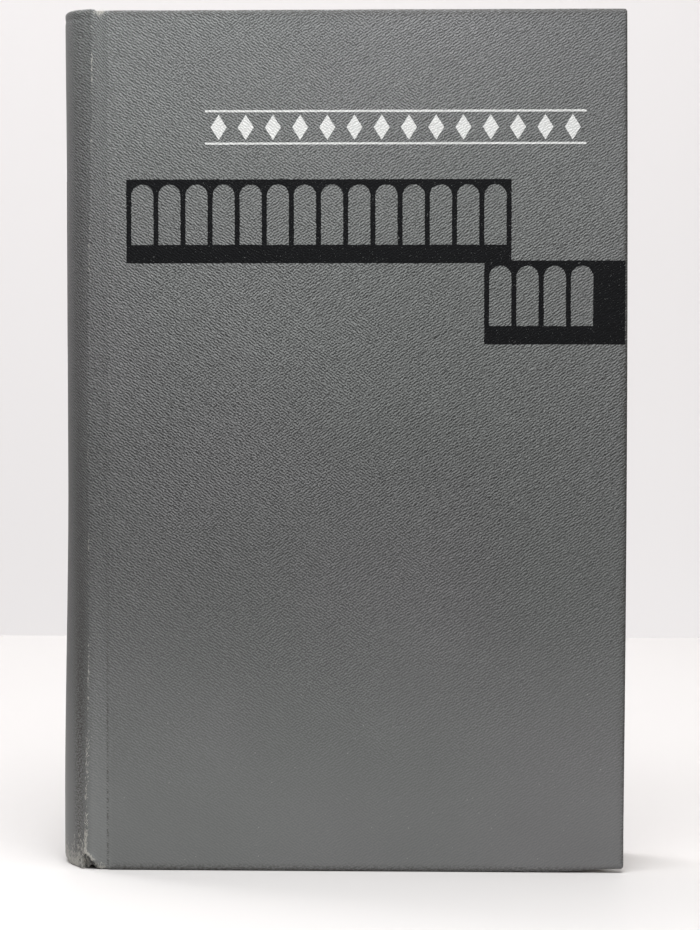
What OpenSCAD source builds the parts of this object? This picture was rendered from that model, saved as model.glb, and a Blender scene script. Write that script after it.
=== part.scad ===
// Case-bound book, standing upright on its tail edge.
// +X runs from the spine to the fore-edge, -Y is the front cover, +Z is the head.
// The origin is under the middle of the closed book, at the level of its tail edge.
// Plan sections are drawn with u along X, measured from the outermost line of the spine.

/* [Leaves] */
// Width of a leaf, from its fold to the trimmed fore-edge
page_w = 125; // [100:1:170]
// Height of a leaf
page_h = 200; // [150:1:260]
// Number of sewn gatherings
gatherings = 14; // [8:1:20]
// Thickness of one pressed gathering of sixteen leaves
gathering_t = 1.68; // [1.2:0.02:2.2]
// Thickness of the heavier paper of the endpapers
endpaper_t = 0.15; // [0.1:0.01:0.25]

/* [Back of the block] */
// How far the back is rounded out at its middle
rounding = 5.4; // [3:0.1:7]
// How far each shoulder stands out past the flat of the leaves
shoulder_h = 1; // [0.6:0.1:1.4]
// Length over which the leaves flare out to the shoulder
shoulder_l = 3; // [2.4:0.1:3.6]
// Thickness of the gauze and paper glued over the folds
lining_t = 0.4; // [0.2:0.05:0.6]
// Diameter of the headband's bead
headband_d = 1.4; // [1:0.1:1.8]
// Length of the headband's tape below its bead
headband_l = 12; // [6:1:20]

/* [Case] */
// Thickness of the boards
board_t = 2; // [1.6:0.1:3]
// Thickness of the covering cloth
cloth_t = 0.35; // [0.25:0.05:0.5]
// Thickness of the card strip in the spine
card_t = 0.5; // [0.3:0.05:0.7]
// Free space between the card strip and the lined back
hollow = 0.8; // [0.7:0.1:1.5]
// How far the boards stand out past the leaves at head, tail and fore-edge
square_w = 3.5; // [2:0.5:5]
// What the joint is wider than a board is thick
joint_slack = 2.6; // [2.4:0.1:4]
// How far the card's edges stand out past the shoulders
ridge_rise = 0.8; // [0.6:0.1:1.2]
// Width of cloth turned in over the boards and the card
turn_in = 15; // [10:1:20]
// Free space between a closed cover and the flyleaf
closing_gap = 0.25; // [0.2:0.05:0.5]
// Radius of the cloth over the boards' edges
edge_r = 0.6; // [0.4:0.1:0.8]
// Radius of the boards' corners
corner_r = 1.2; // [0.8:0.1:2]

/* [Stamping] */
// Width of one unit of the stamped pattern
unit_w = 6.5; // [5:0.1:7]
// Units in the upper black band
upper_units = 14; // [8:1:16]
// Units in the lower black band
lower_units = 4; // [2:1:5]
// Height of a black band
band_h = 20; // [12:0.5:26]
// Height of the line of white lozenges
lozenge_h = 6; // [4:0.5:8]
// How deep the foil is pressed into the cloth
foil_depth = 0.08; // [0.06:0.01:0.12]
// Thickness of the foil
foil_t = 0.05; // [0.03:0.01:0.05]

/* [Hidden] */
$fn = 48;

function two_digits(i) = str(i < 10 ? "0" : "", i);
GATHERING_NODES = [for (i = [1:gatherings]) str("gathering_", two_digits(i))];

// Film of glue between sheets, and what the pieces of a joint keep from each other.
glue = 0.02;
joint_clear = 0.08;
// The joint's paper lies this far over the flyleaf, which bends away beneath it.
paper_clear = 0.18;
// Thickness of the gauze and paper that cross the joint under the cloth.
joint_paper_t = 0.2;

// The block: half its thickness on the flat and at its back, and the radius of its back.
half_block = gatherings * gathering_t / 2;
half_back = half_block + shoulder_h;
back_r = (half_back * half_back + rounding * rounding) / (2 * rounding);

// The case in plan: layers of the spine from outside in, then layers of a cover from inside out.
centre_u = cloth_t + glue + card_t + hollow + lining_t + back_r;
card_r = back_r + lining_t + hollow + card_t / 2;
spine_r = card_r + card_t / 2 + glue + cloth_t / 2;
inner_y = half_block + glue + endpaper_t + closing_gap;
board_y = inner_y + endpaper_t;
outer_y = board_y + board_t + cloth_t;

// The card's edge, whose cloth is the ridge beside the joint.
ridge_y = half_back + ridge_rise;
ridge_angle = asin(ridge_y / card_r);
ridge_u = centre_u - card_r * cos(ridge_angle);
ridge_r = spine_r - card_r;

// Overall sizes.
shoulder_u = centre_u - sqrt(back_r * back_r - half_back * half_back);
edge_u = ridge_u + board_t + joint_slack;
total_w = shoulder_u + page_w + square_w;
total_h = page_h + 2 * square_w;

// The two lines in plan that a joint's strip of cloth bends at, beside the ridge and the board.
bend_u = shoulder_u;
bend_y = half_back + glue + endpaper_t + paper_clear + joint_paper_t + cloth_t / 2;
swing_u = edge_u - joint_clear - cloth_t / 2;
swing_y = inner_y + joint_paper_t + cloth_t / 2 + glue;
BEND = [bend_u, bend_y];
SWING = [swing_u, swing_y];

// Steps that arcs and flares are drawn in.
SPINE_STEPS = 16;
FLARE_STEPS = 6;
FOLD_STEPS = 6;
CORNER_STEPS = 4;
ARCH_STEPS = 12;

// Black left around each light arch of a band, and below the arches.
arch_gap = 1.2;
arch_base = 4.4;
// Where the stamped pattern sits on the front cover: left edges along u, and base lines along Z.
upper_u = edge_u + 5.2;
upper_z = total_h - 60.4;
lower_u = upper_u + (upper_units - 1) * unit_w + arch_gap;
lower_z = upper_z - band_h + 0.6;
lozenge_u = total_w - 10 - upper_units * unit_w;
lozenge_z = upper_z + 29.4;
// Weight of the thin white rules, and the space between them and the lozenges.
rule_w = 0.5;
rule_gap = 0.6;
// The spine's panel: steps of the spine's arc that it reaches to each side, and its height.
panel_steps = 4;
panel_h = 2 * band_h;
panel_z = upper_z + band_h - panel_h;

CLOTH = "dimgray";
BLACK_FOIL = [0.08, 0.08, 0.09];
WHITE_FOIL = "whitesmoke";
BOARD = "tan";
PAPER = "cornsilk";
GAUZE = "antiquewhite";
THREAD = "whitesmoke";

// ---- Plan geometry ----

function unit(v) = v / norm(v);
function polar(r, a) = [r * cos(a), r * sin(a)];

// Unit normal to a path at one of its points, to the left of its direction.
function left_of(path, i) =
    let (a = path[max(i - 1, 0)], b = path[min(i + 1, len(path) - 1)], d = unit(b - a))
    [-d.y, d.x];

// Outline of a sheet of thickness t whose middle follows the path.
function ribbon(path, t) = concat(
    [for (i = [0:len(path) - 1]) path[i] + left_of(path, i) * t / 2],
    [for (i = [len(path) - 1:-1:0]) path[i] - left_of(path, i) * t / 2]
);

// A point on the spine's arcs, r from their centre and a degrees round from straight back.
function on_spine(r, a) = [centre_u - r * cos(a), r * sin(a)];

// Part of an arc of the spine, on the same rays as the cloth, so that layers stay parallel.
function spine_arc(r, steps = SPINE_STEPS) =
    [for (i = [-steps:steps]) on_spine(r, ridge_angle * i / SPINE_STEPS)];

// Where a leaf lies: s from its fold, at half thickness y of the block on the flat.
function flare(s) = s < shoulder_l ? (1 + cos(180 * s / shoulder_l)) / 2 : 0;
function leaf_point(s, y) =
    let (at_back = y * half_back / half_block)
    [centre_u - sqrt(back_r * back_r - at_back * at_back) + s, y + (at_back - y) * flare(s)];

// Distances from the fold at which the side of a leaf or gathering has a point.
function leaf_stations(from) = concat(
    [for (i = [0:FLARE_STEPS]) from + (shoulder_l - from) * i / FLARE_STEPS],
    [page_w]
);

// Outline of everything between two thicknesses of the block, with a round fold.
function gathering_outline(low, high) =
    let (r = (high - low) / 2, middle = (low + high) / 2, stations = leaf_stations(r), last = len(stations) - 1)
    concat(
        [for (i = [0:FOLD_STEPS]) let (a = 90 - 180 * i / FOLD_STEPS)
            leaf_point(r - r * cos(a), middle + r * sin(a))],
        [for (i = [1:last]) leaf_point(stations[i], low)],
        [leaf_point(page_w, middle)],
        [for (i = [last:-1:1]) leaf_point(stations[i], high)]
    );

function leaf_outline(low, high) =
    let (stations = leaf_stations(0), last = len(stations) - 1)
    concat(
        [for (i = [0:last]) leaf_point(stations[i], low)],
        [for (i = [last:-1:0]) leaf_point(stations[i], high)]
    );

// The spine's cloth goes round the card's edge and leaves it straight for the bend of the joint.
function ridge_path() =
    let (
        centre = [ridge_u, ridge_y],
        to_bend = BEND - centre,
        leaving = atan2(to_bend.y, to_bend.x) + acos(ridge_r / norm(to_bend)),
        start = 180 - ridge_angle,
        last = centre + polar(ridge_r, leaving),
        stop = BEND - unit(BEND - last) * (cloth_t / 2 + joint_clear)
    )
    concat(
        [for (i = [1:CORNER_STEPS]) centre + polar(ridge_r, start + (leaving - start) * i / CORNER_STEPS)],
        [stop]
    );

function mirrored(path) = [for (i = [len(path) - 1:-1:0]) [path[i].x, -path[i].y]];
function spine_path() = concat(mirrored(ridge_path()), spine_arc(spine_r), ridge_path());

// Rectangle with round corners, from the origin.
function rounded(w, h, r) = [
    for (corner = [[w - r, h - r, 0], [r, h - r, 90], [r, r, 180], [w - r, r, 270]])
        for (i = [0:CORNER_STEPS])
            [corner.x, corner.y] + polar(r, corner.z + 90 * i / CORNER_STEPS)
];

// ---- Shared modules ----

// Everything is drawn from the spine's outermost line, and then centred.
module placed() translate([-total_w / 2, 0, 0]) children();

// The two halves of the case are alike, so each is drawn for the back and turned over for the front.
module at_front() mirror([0, 1, 0]) children();

// A plan section as tall as the leaves, and one as tall as the case.
module leaf_tall() placed() translate([0, 0, square_w]) linear_extrude(page_h) children();
module case_tall() placed() linear_extrude(total_h) children();

// A slab in u, Y and Z whose edges are rounded to r, and its four corners to r_corner.
module slab(low, size, r, r_corner) translate(low) intersection() {
    linear_extrude(size.z) polygon(rounded(size.x, size.y, r));
    translate([0, size.y, 0]) rotate([90, 0, 0]) linear_extrude(size.y)
        polygon(rounded(size.x, size.z, r_corner));
    rotate([90, 0, 90]) linear_extrude(size.x) polygon(rounded(size.y, size.z, r));
}

// ---- The two covers, drawn at the back ----

// The board, cut back on its inner face where the cloth is turned in over three edges.
module board_body() {
    w = total_w - edge_u - 2 * cloth_t;
    h = total_h - 2 * cloth_t;
    translate([edge_u + cloth_t, board_y + cloth_t, cloth_t]) cube([w, board_t - cloth_t, h]);
    translate([edge_u + cloth_t, board_y, turn_in])
        cube([total_w - turn_in - edge_u - cloth_t, cloth_t, total_h - 2 * turn_in]);
}

module cover_board() color(BOARD) placed() board_body();

module cover_cloth() color(CLOTH) placed() difference() {
    slab([edge_u, board_y, 0], [total_w - edge_u, board_t + cloth_t, total_h], edge_r, corner_r);
    board_body();
    children();
}

module cover_pastedown() color(PAPER) placed()
    translate([edge_u + joint_clear, inner_y, square_w])
        cube([shoulder_u + page_w - edge_u - joint_clear, endpaper_t, page_h]);

// ---- The two joints, drawn at the back ----

// The strip of cloth between the ridge and the board, with a round edge on each line it bends at.
module joint_cloth() {
    across = atan2(SWING.y - BEND.y, SWING.x - BEND.x);
    color(CLOTH) case_tall() polygon([
        for (end = [[BEND, across + 90], [SWING, across - 90]])
            for (i = [0:FOLD_STEPS])
                end[0] + polar(cloth_t / 2, end[1] + 180 * i / FOLD_STEPS)
    ]);
}

// Gauze and the outer leaf of the endpaper, glued to the inside of that cloth.
module joint_paper() {
    along = unit(SWING - BEND);
    inward = [along.y, -along.x];
    offset_in = inward * (cloth_t + joint_paper_t + glue) / 2;
    color(PAPER) leaf_tall()
        polygon(ribbon([BEND + along * cloth_t / 2, SWING - along * cloth_t / 4] + [offset_in, offset_in],
            joint_paper_t));
}

module flyleaf() color(PAPER) leaf_tall()
    polygon(leaf_outline(half_block + glue, half_block + glue + endpaper_t));

// ---- Stamping, drawn on the front cover's face in u and Z ----

// An arch, with the ends of its half circle at the origin's level and its feet h below them.
module arch(w, h) polygon(concat(
    [for (i = [0:ARCH_STEPS]) polar(w / 2, 180 * i / ARCH_STEPS)],
    [[-w / 2, -h], [w / 2, -h]]
));

// A black band, with light arches left open in it.
module band(w, units) difference() {
    arch_w = unit_w - arch_gap;
    spring = band_h - arch_gap - arch_w / 2;
    square([w, band_h]);
    for (i = [0:units - 1])
        translate([arch_gap / 2 + (i + 0.5) * unit_w, spring]) arch(arch_w, spring - arch_base);
}

module bands() {
    translate([upper_u, upper_z]) band(upper_units * unit_w + arch_gap, upper_units);
    translate([lower_u, lower_z]) band(total_w - edge_r - lower_u, lower_units);
}

// A line of white lozenges between two thin rules.
module lozenges() translate([lozenge_u, lozenge_z]) {
    for (i = [0:upper_units - 1])
        translate([(i + 0.5) * unit_w, 0])
            polygon([[0, 0], [unit_w / 3.4, lozenge_h / 2], [0, lozenge_h], [-unit_w / 3.4, lozenge_h / 2]]);
    for (z = [-rule_gap - rule_w, lozenge_h + rule_gap])
        translate([0, z]) square([upper_units * unit_w, rule_w]);
}

// Presses a flat pattern into the back cover's face, from below the surface outwards.
module on_face(depth, thickness) translate([0, outer_y - depth + thickness, 0])
    rotate([90, 0, 0]) linear_extrude(thickness) children();

module cover_stamp(tint) color(tint) placed() on_face(foil_depth, foil_t) children();

// ---- The spine ----

// A sheet round the spine at radius r, between two heights, reaching some steps to each side.
module spine_sheet(r, t, low, high, steps = SPINE_STEPS)
    translate([0, 0, low]) linear_extrude(high - low) polygon(ribbon(spine_arc(r, steps), t));

module panel(depth, t)
    spine_sheet(spine_r + cloth_t / 2 - depth + t / 2, t, panel_z, panel_z + panel_h, panel_steps);

module rules(depth, t) for (z = [panel_z - 3, panel_z + panel_h + 3 - 2 * rule_w])
    spine_sheet(spine_r + cloth_t / 2 - depth + t / 2, t, z, z + 2 * rule_w, panel_steps);

module spine_card() color(BOARD) placed()
    spine_sheet(card_r, card_t, cloth_t + glue, total_h - cloth_t - glue);

// The cloth over the card, folded over its ends and turned in at head and tail.
module spine_cloth() color(CLOTH) placed() difference() {
    union() {
        linear_extrude(total_h) polygon(ribbon(spine_path(), cloth_t));
        for (low = [0, total_h - turn_in])
            spine_sheet(card_r - card_t / 2 - glue - cloth_t / 2, cloth_t, low, low + turn_in);
        for (low = [0, total_h - cloth_t])
            spine_sheet(card_r, card_t + 2 * glue + cloth_t, low, low + cloth_t);
    }
    panel(foil_depth, foil_depth + glue);
    rules(foil_depth, foil_depth + glue);
}

module spine_band_stamp() color(BLACK_FOIL) placed() panel(foil_depth, foil_t);
module spine_rule_stamp() color(WHITE_FOIL) placed() rules(foil_depth, foil_t);

module spine_lining() color(GAUZE) placed() {
    reach = asin(half_back / back_r);
    translate([0, 0, square_w]) linear_extrude(page_h) polygon(ribbon(
        [for (i = [-SPINE_STEPS:SPINE_STEPS]) on_spine(back_r + glue + lining_t / 2, reach * i / SPINE_STEPS)],
        lining_t - 2 * glue));
}

// A bead along the back's edge, with its tape glued over the lining. Drawn for the head.
module headband() {
    reach = asin(half_block / back_r);
    tape_t = 0.2;
    translate([centre_u, 0, 0]) rotate([0, 0, 180 - reach]) {
        translate([0, 0, headband_d / 2]) rotate_extrude(angle = 2 * reach)
            translate([back_r - headband_d / 4, 0]) circle(d = headband_d);
        translate([0, 0, -headband_l]) rotate_extrude(angle = 2 * reach)
            translate([back_r + lining_t, 0]) square([tape_t, headband_l + headband_d / 2]);
        translate([0, 0, headband_d / 4]) rotate_extrude(angle = 2 * reach)
            translate([back_r - headband_d / 4, 0]) square([lining_t + tape_t + headband_d / 4, headband_d / 4]);
    }
}

module headband_head() color(THREAD) placed() translate([0, 0, square_w + page_h + glue]) headband();
module headband_tail() color(THREAD) placed()
    translate([0, 0, square_w - glue]) mirror([0, 0, 1]) headband();

// ---- The leaves ----

// One gathering, counted from the front cover.
module gathering(i) {
    low = (i - 1) * gathering_t - half_block;
    color(PAPER) leaf_tall() polygon(gathering_outline(low + glue / 2, low + gathering_t - glue / 2));
}

at_front() cover_board();  // front_board
at_front() cover_cloth() {  // front_cloth
    on_face(foil_depth, foil_depth + glue) bands();
    on_face(foil_depth, foil_depth + glue) lozenges();
}
at_front() cover_pastedown();  // front_pastedown
at_front() cover_stamp(BLACK_FOIL) bands();  // front_band_stamp
at_front() cover_stamp(WHITE_FOIL) lozenges();  // front_lozenge_stamp
at_front() joint_cloth();  // front_joint_cloth
at_front() joint_paper();  // front_joint_paper
cover_board();  // back_board
cover_cloth();  // back_cloth
cover_pastedown();  // back_pastedown
joint_cloth();  // back_joint_cloth
joint_paper();  // back_joint_paper
spine_cloth();
spine_card();
spine_band_stamp();
spine_rule_stamp();
spine_lining();
headband_head();
headband_tail();
at_front() flyleaf();  // front_flyleaf
flyleaf();  // back_flyleaf
for (i = [1:gatherings])
    gathering(i);
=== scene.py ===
"""Looks of a cloth-bound book that stands on its tail edge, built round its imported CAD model.

Everything is in metres in the model's own frame: +X runs from the spine to the fore-edge, the front
cover faces -Y and the head is up. Sections through the book are worked out in plan as (x, y) with y
positive, and `side` puts them on the front (-1) or the back (+1).
"""

import math

import bmesh
import bpy
import numpy as np
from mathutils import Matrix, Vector, noise


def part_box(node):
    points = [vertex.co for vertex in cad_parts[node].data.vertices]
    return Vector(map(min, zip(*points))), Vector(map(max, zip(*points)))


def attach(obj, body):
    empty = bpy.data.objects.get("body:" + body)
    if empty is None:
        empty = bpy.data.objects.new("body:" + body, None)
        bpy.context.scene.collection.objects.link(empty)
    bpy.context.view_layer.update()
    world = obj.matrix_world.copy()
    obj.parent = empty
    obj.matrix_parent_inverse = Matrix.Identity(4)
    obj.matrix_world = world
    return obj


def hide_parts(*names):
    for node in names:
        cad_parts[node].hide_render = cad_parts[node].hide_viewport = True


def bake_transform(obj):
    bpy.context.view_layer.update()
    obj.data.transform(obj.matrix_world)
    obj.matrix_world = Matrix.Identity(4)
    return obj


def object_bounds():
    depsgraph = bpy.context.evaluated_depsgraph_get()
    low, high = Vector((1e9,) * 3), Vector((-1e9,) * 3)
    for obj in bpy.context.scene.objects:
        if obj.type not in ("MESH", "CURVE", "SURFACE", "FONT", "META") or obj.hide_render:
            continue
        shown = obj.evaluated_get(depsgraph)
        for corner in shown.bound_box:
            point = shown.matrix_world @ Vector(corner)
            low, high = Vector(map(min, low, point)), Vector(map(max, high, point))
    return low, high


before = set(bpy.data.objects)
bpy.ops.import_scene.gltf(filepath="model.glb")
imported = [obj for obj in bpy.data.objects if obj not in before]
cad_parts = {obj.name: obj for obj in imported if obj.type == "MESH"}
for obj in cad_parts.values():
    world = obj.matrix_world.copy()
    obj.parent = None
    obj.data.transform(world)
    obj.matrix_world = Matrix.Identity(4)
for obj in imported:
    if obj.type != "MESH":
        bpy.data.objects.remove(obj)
cad_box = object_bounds()

MM = 0.001
FRONT, BACK = -1, 1
rng = np.random.default_rng(7)

# ---- Sizes, from the frame ----

SPINE_X, HEIGHT = cad_box[0].x, cad_box[1].z
FORE_X = cad_box[1].x
FACE_Y = -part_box("front_cloth")[0].y
BOARD_IN_Y = -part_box("front_cloth")[1].y
EDGE_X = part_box("front_cloth")[0].x
RIDGE_OUT_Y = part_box("spine_cloth")[1].y

GATHERING_NODES = sorted(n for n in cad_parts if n.startswith("gathering_"))
MIDDLE_GATHERING = GATHERING_NODES[len(GATHERING_NODES) // 2]
BACK_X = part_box(MIDDLE_GATHERING)[0].x
PAGE_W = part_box(MIDDLE_GATHERING)[1].x - BACK_X
PAGE_LOW, PAGE_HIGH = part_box(MIDDLE_GATHERING)[0].z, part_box(MIDDLE_GATHERING)[1].z
HALF_BACK = -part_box(GATHERING_NODES[0])[0].y
HALF_BLOCK = -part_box("front_flyleaf")[1].y
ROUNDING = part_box("front_flyleaf")[0].x - BACK_X
BACK_R = (HALF_BACK**2 + ROUNDING**2) / (2 * ROUNDING)
CENTRE_X = BACK_X + BACK_R
# How far from its fold a leaf bends outwards to the shoulder, and half the thickness of the spine's wall.
SHOULDER_L = 3 * MM
HALF_WALL = 0.62 * MM
CARD_R = CENTRE_X - SPINE_X - HALF_WALL
RIDGE_Y = RIDGE_OUT_Y - HALF_WALL
RIDGE_ANGLE = math.asin(RIDGE_Y / CARD_R)
RIDGE_X = CENTRE_X - CARD_R * math.cos(RIDGE_ANGLE)


# ---- Small helpers ----


def smooth(low, high, value):
    """0 at low, 1 at high, and an even turn in between."""
    t = min(max((value - low) / (high - low), 0), 1)
    return t * t * (3 - 2 * t)


def bump(centre, width, value):
    """1 at centre, falling to 0 at width to either side of it."""
    return smooth(width, 0, abs(value - centre))


def mix(a, b, t):
    return a + (b - a) * t


def wander(x, y, z, scale):
    """Even noise from -1 to 1 whose features are about scale across."""
    return noise.noise(Vector((x, y, z)) / scale)


def curve_through(points, steps):
    """Points on a smooth curve through the given ones, steps to each stretch."""
    points = [np.array(p, float) for p in points]
    points = [2 * points[0] - points[1]] + points + [2 * points[-1] - points[-2]]
    found = []
    for a, b, c, d in zip(points, points[1:], points[2:], points[3:]):
        square, cube = 2 * a - 5 * b + 4 * c - d, 3 * b - a - 3 * c + d
        for t in np.arange(steps) / steps:
            found.append(0.5 * (2 * b + (c - a) * t + square * t**2 + cube * t**3))
    return found + [points[-2]]


def add_object(name, vertices, faces, material, smooth_faces=True):
    mesh = bpy.data.meshes.new(name)
    mesh.from_pydata([tuple(v) for v in vertices], [], faces)
    mesh.validate()
    mesh.update()
    mesh.polygons.foreach_set("use_smooth", [smooth_faces] * len(mesh.polygons))
    mesh.materials.append(material)
    piece = bpy.data.objects.new(name, mesh)
    bpy.context.scene.collection.objects.link(piece)
    return piece


def add_attribute(piece, name, kind, values):
    """A value at each vertex, which the materials read by name."""
    layer = piece.data.attributes.new(name, kind, "POINT")
    layer.data.foreach_set("value" if kind == "FLOAT" else "vector", np.array(values, np.float32).ravel())


def grid_faces(rows, columns):
    """Quads between the points of a grid that is stored row by row."""
    found = []
    for i in range(rows - 1):
        for j in range(columns - 1):
            a = i * columns + j
            found.append((a, a + 1, a + columns + 1, a + columns))
    return found


def slab_faces(rows, columns):
    """Faces of a thin slab: the points of one side's grid come first, and then those of the other side."""
    size = rows * columns
    top = size - columns
    found = []
    for a, b, c, d in grid_faces(rows, columns):
        found.append((a, d, c, b))
        found.append((a + size, b + size, c + size, d + size))
    for i in range(columns - 1):
        found.append((i, i + 1, size + i + 1, size + i))
        found.append((top + i, top + size + i, top + size + i + 1, top + i + 1))
    for j in range(rows - 1):
        a, b = j * columns, (j + 1) * columns - 1
        found.append((a, a + size, a + size + columns, a + columns))
        found.append((b + columns, b + size + columns, b + size, b))
    return found


def tube_faces(first, rings, around):
    """Faces of a closed tube of rings, each of the same number of points, with both ends filled."""
    found = []
    for i in range(rings - 1):
        for k in range(around):
            a, b = first + i * around + k, first + i * around + (k + 1) % around
            found.append((a, b, b + around, a + around))
    last = first + (rings - 1) * around
    found.append(tuple(first + k for k in reversed(range(around))))
    found.append(tuple(last + k for k in range(around)))
    return found


# ---- Materials ----


class Shader:
    """A material made node by node. Inputs are given by name, or as i0, i1 and so on by their order."""

    def __init__(self, name, **fixed):
        self.material = bpy.data.materials.new(name)
        self.material.use_nodes = True
        self.tree = self.material.node_tree
        self.surface = self.tree.nodes["Principled BSDF"]
        for socket, value in fixed.items():
            self.surface.inputs[socket.replace("_", " ")].default_value = value

    def add(self, kind, settings=None, **inputs):
        node = self.tree.nodes.new("ShaderNode" + kind)
        for key, value in (settings or {}).items():
            setattr(node, key, value)
        for socket, value in inputs.items():
            self.put(node.inputs[int(socket[1:]) if socket[1:].isdigit() else socket], value)
        return node

    def put(self, socket, value):
        if isinstance(value, bpy.types.NodeSocket):
            self.tree.links.new(value, socket)
        elif socket.type == "VECTOR":
            socket.default_value = value[:3]
        else:
            socket.default_value = value

    def place(self):
        """Where a point lies on its object, in metres."""
        return self.add("TexCoord").outputs["Object"]

    def math(self, operation, a, b=0.0):
        return self.add("Math", {"operation": operation}, i0=a, i1=b).outputs[0]

    def times(self, *factors):
        """The product of numbers, each fixed or varying over the surface."""
        product = factors[0]
        for factor in factors[1:]:
            product = self.math("MULTIPLY", product, factor)
        return product

    def attribute(self, name, output="Fac"):
        return self.add("Attribute", {"attribute_name": name}).outputs[output]

    def noise(self, vector, scale, detail=2.0, roughness=0.5, distortion=0.0):
        node = self.add("TexNoise", Vector=vector, Scale=scale, Detail=detail, Roughness=roughness)
        node.inputs["Distortion"].default_value = distortion
        return node.outputs["Fac"]

    def ramp(self, value, low, high, out_low=0.0, out_high=1.0):
        node = self.add("MapRange", {"interpolation_type": "SMOOTHSTEP"}, Value=value)
        limits = {"From Min": low, "From Max": high, "To Min": out_low, "To Max": out_high}
        for socket, number in limits.items():
            node.inputs[socket].default_value = number
        return node.outputs["Result"]

    def blend(self, factor, a, b):
        node = self.add("Mix", {"data_type": "RGBA"})
        for socket, value in zip((node.inputs[0], node.inputs[6], node.inputs[7]), (factor, a, b)):
            self.put(socket, value)
        return node.outputs[2]

    def scaled(self, colour, factor):
        """The colour made lighter or darker by a number that varies over the surface."""
        return self.add("VectorMath", {"operation": "SCALE"}, i0=colour, Scale=factor).outputs[0]

    def bumped(self, height, distance, strength=1.0):
        node = self.add("Bump", Height=height, Distance=distance, Strength=strength)
        self.tree.links.new(node.outputs["Normal"], self.surface.inputs["Normal"])

    def finish(self, colour, rough):
        self.put(self.surface.inputs["Base Color"], colour)
        self.put(self.surface.inputs["Roughness"], rough)
        return self.material


# The grain's ripples lean one way by the spine and the other way by the fore-edge, and cross in between.
RIPPLE_PITCH, RIPPLE_WANDER = 0.62 * MM, 8.5
RIPPLE_LEANS = (math.radians(24), math.radians(44))
CROSSING_FROM, CROSSING_TO = 35 * MM, 100 * MM


def ripples(shader, place, way):
    """Two sets of fine ripples that cross at a narrow angle and break each other up into streaks."""
    parts = shader.add("SeparateXYZ", i0=place)
    turn = 2 * math.pi / RIPPLE_PITCH
    waves = []
    for lean, scale in zip(RIPPLE_LEANS, (1.0 * MM, 0.8 * MM)):
        across = shader.times(parts.outputs[0], way * turn * math.sin(lean))
        upward = shader.times(parts.outputs[1], turn * math.cos(lean))
        unsteady = shader.times(shader.noise(place, 1 / scale, 1.0), RIPPLE_WANDER * way)
        phase = shader.math("ADD", shader.math("ADD", across, upward), unsteady)
        waves.append(shader.math("SINE", phase))
    return shader.times(shader.math("ADD", waves[0], waves[1]), 0.25)


def grain(shader):
    """Height of the embossed grain, 0 to 1, with the cloth's own coordinates and the one up the cover."""
    place = shader.attribute("cloth", "Vector")
    parts = shader.add("SeparateXYZ", i0=place)
    patches = shader.times(shader.math("SUBTRACT", shader.noise(place, 90.0, 2.0), 0.5), 0.16)
    second = shader.ramp(shader.math("ADD", parts.outputs[0], patches), CROSSING_FROM, CROSSING_TO)
    first = shader.math("SUBTRACT", 1.0, second)
    by_spine = shader.times(ripples(shader, place, 1), shader.math("SQRT", first))
    by_fore_edge = shader.times(ripples(shader, place, -1), shader.math("SQRT", second))
    pebbles = shader.math("SUBTRACT", shader.noise(place, 1 / (0.26 * MM), 1.0, 0.6), 0.5)
    together = shader.math("ADD", shader.math("ADD", by_spine, by_fore_edge), shader.times(pebbles, 0.85))
    return shader.ramp(together, -0.44, 0.54), place, parts.outputs[1]


# How much paler the cloth is painted towards the head and towards the tail: painted light from above and
# from the table.
HEAD_PAINTED_LIGHT, TAIL_PAINTED_LIGHT = 1.27, 1.37
CLOTH_TINTS = ((0.1, 0.1037, 0.1015, 1), (0.103, 0.103, 0.1037, 1))
DIRT_AND_SHADE, BARE_THREAD, LINT = (0.024, 0.020, 0.016, 1), (0.36, 0.35, 0.32, 1), (0.42, 0.42, 0.40, 1)


def freshness(shader, place, up):
    """How much of the grain is left: the lower part of the cover is rubbed smoother than the upper part."""
    edge_of_rubbing = shader.math("ADD", up, shader.times(shader.noise(place, 30.0), 0.03))
    rubbed = shader.ramp(edge_of_rubbing, 0.02, 0.12, 0.12, 1)
    return shader.times(rubbed, shader.ramp(up, 0.14, 0.2, 1, 0.82))


def dyed_cloth(shader, place, up, height, fresh):
    """The grey of the cloth: blotchy, painted paler towards the head and the tail as painted light, its
    crests paler, partly from wear and partly as a painted highlight.
    """
    blotches = shader.ramp(shader.noise(place, 24.0, 3.0, 0.55), 0.3, 0.7, 0.965, 1.035)
    # Painted light: paler towards the head as if lit from above, and paler over the rubbed tail as if lit
    # by light from the table.
    head_painted_light = shader.ramp(up, 0.08, 0.165, 1, HEAD_PAINTED_LIGHT)
    rubbed = shader.ramp(up, 0.0, 0.075, TAIL_PAINTED_LIGHT, 1)
    # The grain's crests are painted paler and its hollows darker: partly worn crests, partly a painted
    # highlight and painted shade.
    crest_wear_and_highlight = shader.times(shader.math("SUBTRACT", height, 0.5), fresh, 1.7)
    tone = shader.times(blotches, shader.times(head_painted_light, rubbed), shader.math("ADD", 1.04, crest_wear_and_highlight))
    tint = shader.blend(shader.ramp(shader.noise(place, 11.0, 2.0), 0.35, 0.65), *CLOTH_TINTS)
    return shader.scaled(tint, shader.times(tone, shader.attribute("tone")))


def dirt_and_shade_cover(shader, place):
    """Dirt that has settled, and painted shade, in small blotches, longer round the girth than up the book.
    """
    stretched = shader.add("VectorMath", {"operation": "MULTIPLY"}, i0=place, i1=(0.55, 1, 1)).outputs[0]
    blotches = shader.ramp(shader.noise(stretched, 1 / (0.45 * MM), 2.0, 0.7), 0.45, 0.55)
    return shader.times(blotches, shader.attribute("dirt"))


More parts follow.
